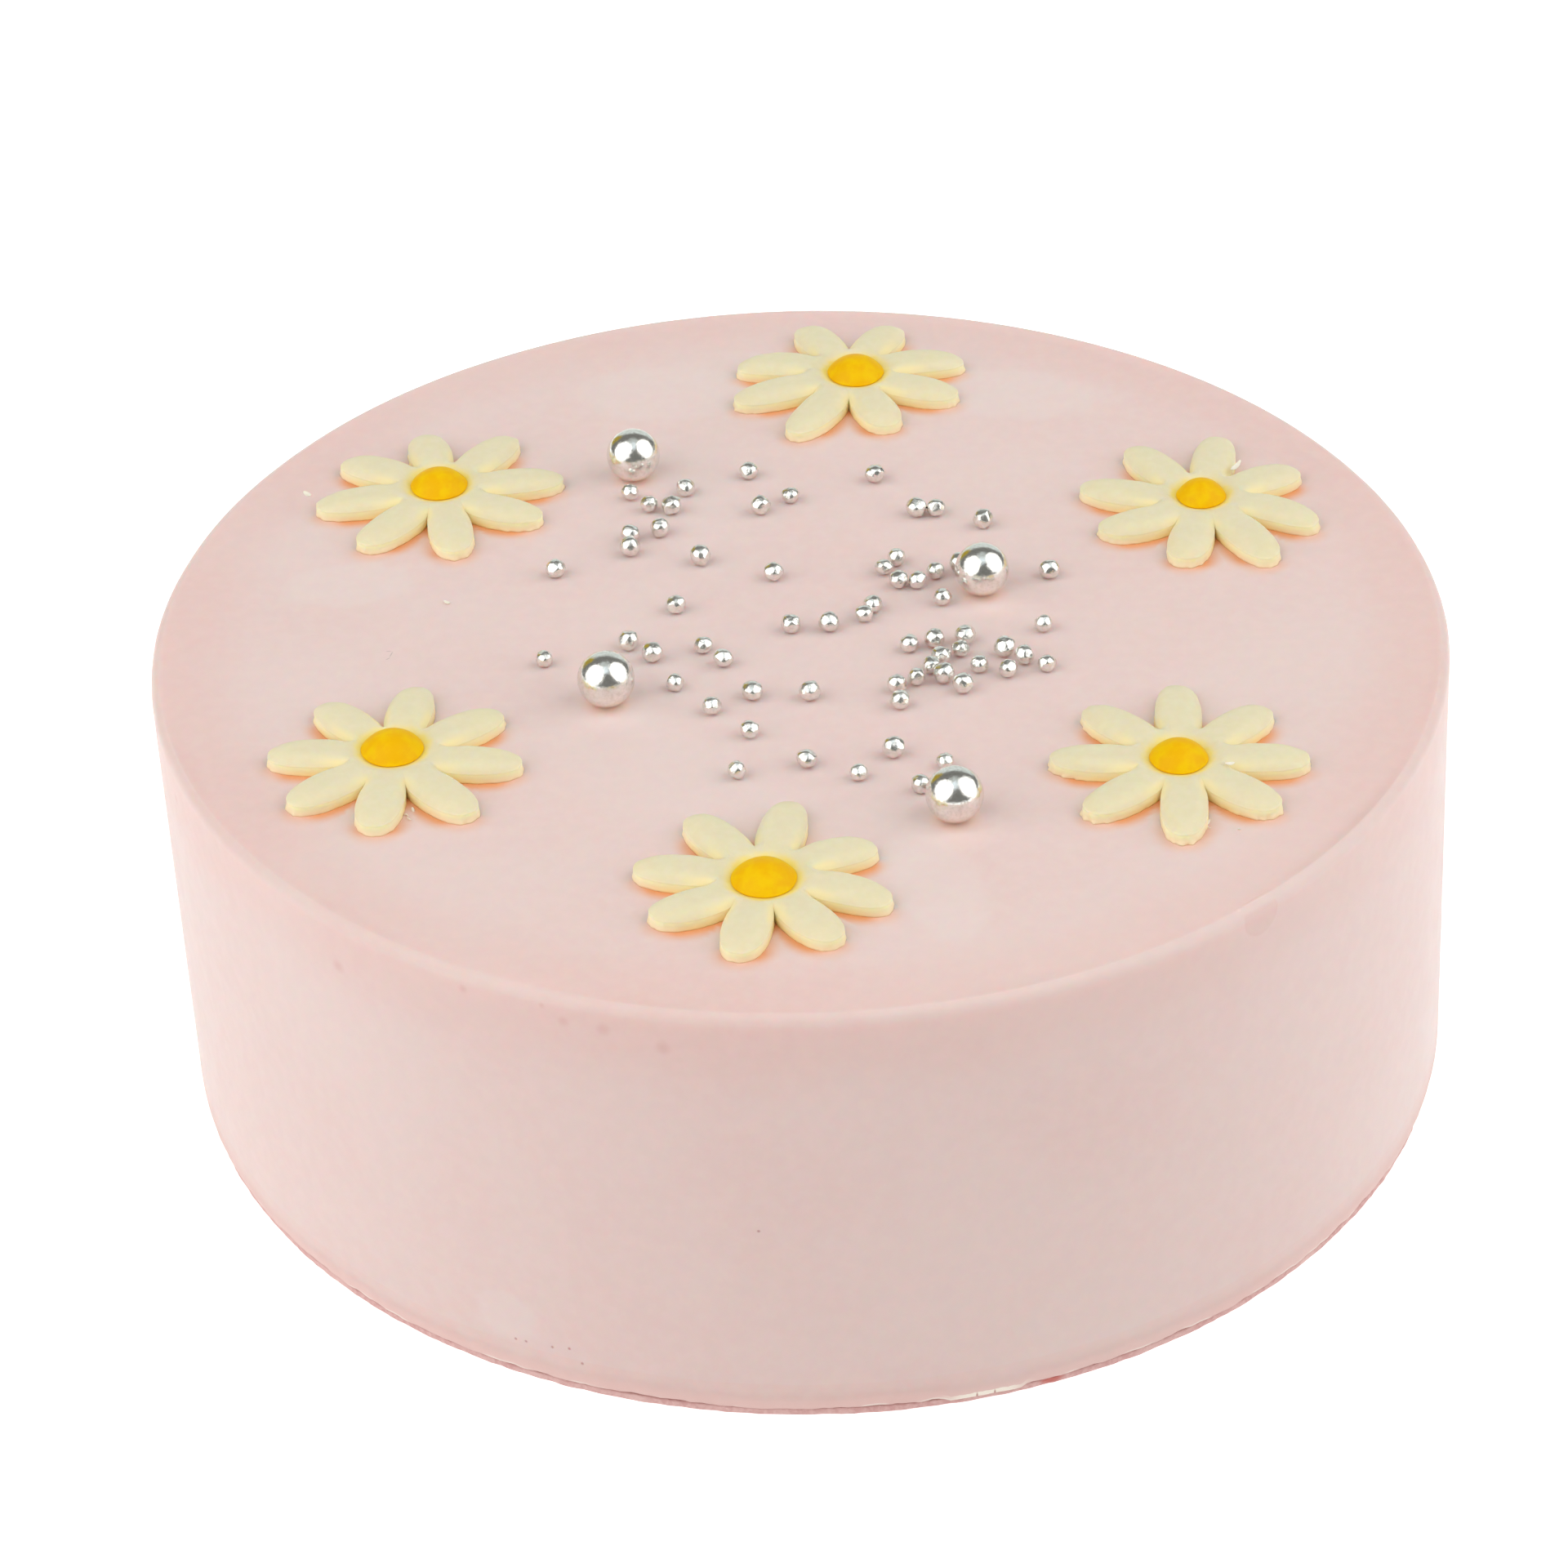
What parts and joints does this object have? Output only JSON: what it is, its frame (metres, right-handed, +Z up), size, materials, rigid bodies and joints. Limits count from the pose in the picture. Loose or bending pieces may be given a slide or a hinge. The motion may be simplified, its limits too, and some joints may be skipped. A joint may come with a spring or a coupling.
{
  "type": "birthday cake",
  "caption": "Round straight-sided birthday cake in smooth pink glaze, topped with cut fondant daisies, large silver sugar pearls and scattered small ones.",
  "frame": {"origin": "middle of the flat underside, on the surface that the cake stands on", "axes": "+Z up through the cake, -Y towards the front as pictured, +X to the right of the front"},
  "size_m": [0.1812, 0.18, 0.074],
  "materials": {
    "glaze": "satin",
    "base": "matte",
    "fondant": "matte",
    "centre": "semi-gloss",
    "silver": "polished"
  },
  "bodies": {
    "root": {"cake": "glaze", "base_layer": "base", "daisy_1": "fondant", "daisy_2": "fondant", "daisy_3": "fondant", "daisy_4": "fondant", "daisy_5": "fondant", "daisy_6": "fondant", "daisy_centre_1": "centre", "daisy_centre_2": "centre", "daisy_centre_3": "centre", "daisy_centre_4": "centre", "daisy_centre_5": "centre", "daisy_centre_6": "centre", "large_pearl_1": "silver", "large_pearl_2": "silver", "large_pearl_3": "silver", "large_pearl_4": "silver"}
  },
  "joints": []
}
